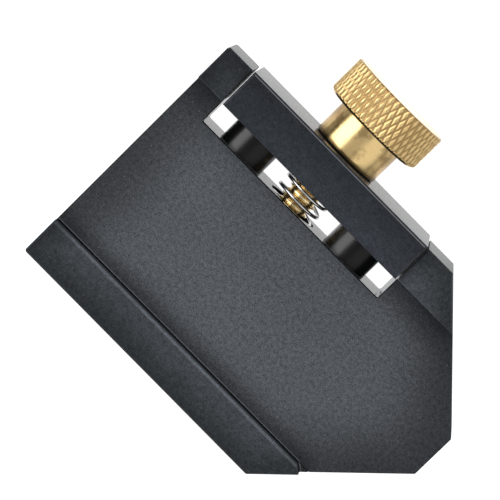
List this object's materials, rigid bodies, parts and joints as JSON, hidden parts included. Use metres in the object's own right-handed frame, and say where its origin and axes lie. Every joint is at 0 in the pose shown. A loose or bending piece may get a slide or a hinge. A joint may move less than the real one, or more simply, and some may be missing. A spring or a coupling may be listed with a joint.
{
  "type": "scribing positioning block",
  "caption": "Slide-on marking fence: a black block with a rule channel, square end and 45 degree nose, and a sprung clamp bar drawn in by a brass thumb screw.",
  "frame": {"origin": "on the channel floor, level with the screw's axis and half-way across the block", "axes": "+X from the square end to the nose, along the rule; +Y across the block, towards the thumb screw; +Z out of the channel"},
  "size_m": [0.0599, 0.0513, 0.0174],
  "materials": {
    "anodised_block": "bead-blasted, black anodised",
    "anodised_bar": "bead-blasted, black anodised",
    "blackened_pin": "ground steel, black oxide, satin",
    "spring_wire": "bright drawn spring wire",
    "turned_brass": "turned, polished, diamond knurl on the head"
  },
  "bodies": {
    "block": {"body_block": "anodised_block", "clamp_spring": "spring_wire"},
    "bar": {"clamp_bar": "anodised_bar", "guide_pin_left": "blackened_pin", "guide_pin_right": "blackened_pin"},
    "screw": {"thumb_screw": "turned_brass"}
  },
  "joints": [
    {"name": "clamp_slide", "type": "slide", "parent": "block", "child": "bar", "axis": [0, -1, 0], "range_m": [-0.0024, 0.0036], "deforming": ["clamp_spring"]},
    {"name": "screw_turn", "type": "hinge", "parent": "bar", "child": "screw", "pos_m": [0, 0.0202, -0.005], "axis": [0, -1, 0], "range_deg": [-1080, 1620]}
  ],
  "couplings": [
    {"joint": "screw_turn", "follows": "clamp_slide", "rad_per_m": 7854}
  ]
}
